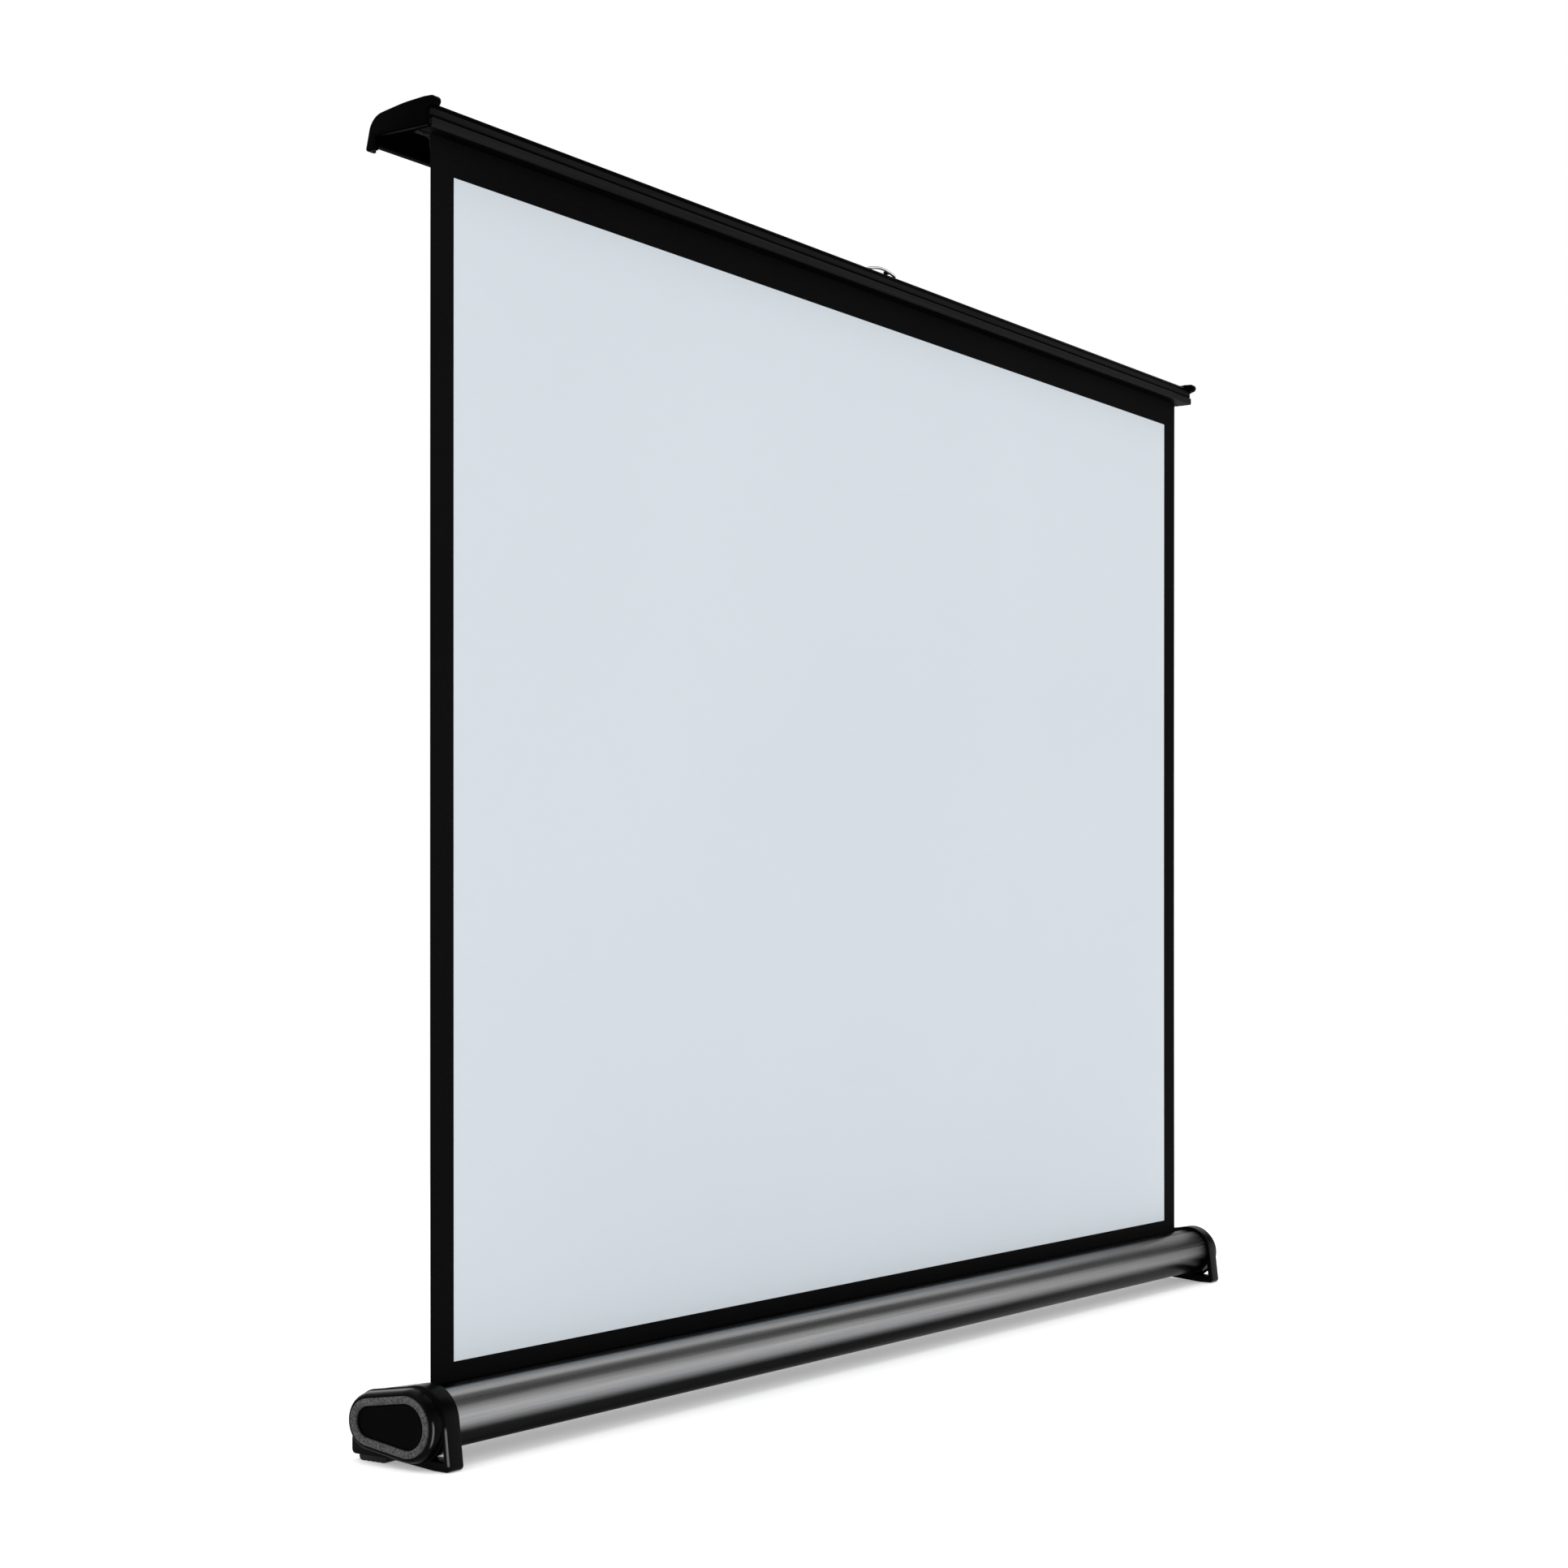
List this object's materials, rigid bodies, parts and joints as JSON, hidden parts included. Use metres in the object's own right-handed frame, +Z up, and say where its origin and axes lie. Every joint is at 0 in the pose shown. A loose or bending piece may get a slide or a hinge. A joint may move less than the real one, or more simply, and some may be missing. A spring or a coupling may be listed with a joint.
{
  "type": "tabletop projector screen",
  "caption": "Pull-up tabletop projector screen: a sheet wound in a low base case, held flat by crossed folding arms behind it, with a hooded top bar and a carry handle.",
  "frame": {"origin": "middle of the footprint, on the surface that the screen stands on", "axes": "+X along the width, to the right seen from the picture side; +Y from the picture side to the back; +Z up"},
  "size_m": [1.1258, 0.083, 0.8693],
  "materials": {
    "case_metal": "satin",
    "hood_metal": "satin",
    "rail_metal": "satin",
    "cap_plastic": "gloss",
    "cover_plastic": "satin",
    "ring_rubber": "matte",
    "pad_rubber": "matte",
    "arm_steel": "satin",
    "zinc_steel": "satin",
    "wheel_plastic": "satin",
    "chrome_steel": "polished",
    "roller_metal": "satin",
    "spring_steel": "satin",
    "screen_cloth": "matte"
  },
  "bodies": {
    "base": {"base_case": "case_metal", "end_cap_left": "cap_plastic", "end_cap_right": "cap_plastic", "cap_ring_left": "ring_rubber", "cap_ring_right": "ring_rubber", "cap_cover_left": "cover_plastic", "cap_cover_right": "cover_plastic", "foot_pad_left": "pad_rubber", "foot_pad_right": "pad_rubber", "cap_screw_1": "zinc_steel", "cap_screw_2": "zinc_steel", "cap_screw_3": "zinc_steel", "cap_screw_4": "zinc_steel", "arm_bracket_base": "zinc_steel", "base_bracket_screw_1": "zinc_steel", "base_bracket_screw_2": "zinc_steel", "slide_track_base": "zinc_steel", "base_track_screw_1": "zinc_steel", "base_track_screw_2": "zinc_steel", "base_track_screw_3": "zinc_steel", "track_stop_base": "pad_rubber", "roller_axle_left": "zinc_steel", "spring_arbor": "zinc_steel", "retract_spring": "spring_steel", "pin_base": "zinc_steel", "screen_fabric": "screen_cloth"},
    "roller": {"roller_tube": "roller_metal", "roller_plug_left": "wheel_plastic", "roller_plug_right": "wheel_plastic", "fabric_wraps": "screen_cloth"},
    "front_arm": {"arm_front": "arm_steel", "pin_centre": "zinc_steel", "centre_spacer": "wheel_plastic", "wheel_axle_front": "zinc_steel"},
    "rear_arm": {"arm_rear": "arm_steel", "wheel_axle_rear": "zinc_steel"},
    "top_bar": {"hood": "hood_metal", "hood_cap_left": "cap_plastic", "hood_cap_right": "cap_plastic", "clamp_rail": "rail_metal", "fabric_rod": "zinc_steel", "arm_bracket_top": "zinc_steel", "pin_top": "zinc_steel", "slide_track_top": "zinc_steel", "track_stop_top": "pad_rubber", "hood_screw_1": "rail_metal", "hood_screw_2": "rail_metal", "hood_screw_3": "rail_metal", "hood_screw_4": "rail_metal", "hood_screw_5": "rail_metal", "handle_lug_left": "cap_plastic", "handle_lug_right": "cap_plastic", "handle_rest": "cap_plastic"},
    "handle": {"handle_bail": "chrome_steel"},
    "base_wheel": {"slide_wheel_base": "wheel_plastic"},
    "top_wheel": {"slide_wheel_top": "wheel_plastic"}
  },
  "joints": [
    {"name": "front_arm_fold", "type": "hinge", "parent": "base", "child": "front_arm", "pos_m": [-0.49, 0.0096, 0.025], "axis": [0, 1, 0], "range_deg": [0, 54.94], "deforming": ["screen_fabric"]},
    {"name": "rear_arm_cross", "type": "hinge", "parent": "front_arm", "child": "rear_arm", "pos_m": [-0.22298, 0.0176, 0.43585], "axis": [0, 1, 0], "range_deg": [-109.88, 0.5]},
    {"name": "top_bar_level", "type": "hinge", "parent": "rear_arm", "child": "top_bar", "pos_m": [-0.49, 0.0176, 0.8467], "axis": [0, 1, 0], "range_deg": [-0.5, 54.94]},
    {"name": "roller_spin", "type": "hinge", "parent": "base", "child": "roller", "pos_m": [0, -0.0151, 0.0292], "axis": [-1, 0, 0], "range_deg": [-10, 4060]},
    {"name": "handle_lift", "type": "hinge", "parent": "top_bar", "child": "handle", "pos_m": [0, 0.0104, 0.8644], "axis": [-1, 0, 0], "range_deg": [0, 100]},
    {"name": "base_wheel_spin", "type": "hinge", "parent": "rear_arm", "child": "base_wheel", "pos_m": [0.04405, 0.0231, 0.025], "axis": [0, 1, 0], "continuous": true},
    {"name": "top_wheel_spin", "type": "hinge", "parent": "front_arm", "child": "top_wheel", "pos_m": [0.04405, 0.0056, 0.8467], "axis": [0, 1, 0], "continuous": true}
  ],
  "couplings": [
    {"joint": "rear_arm_cross", "follows": "front_arm_fold", "ratio": -2},
    {"joint": "top_bar_level", "follows": "front_arm_fold", "ratio": 1},
    {"joint": "roller_spin", "follows": "front_arm_fold", "ratio": 73.7}
  ]
}
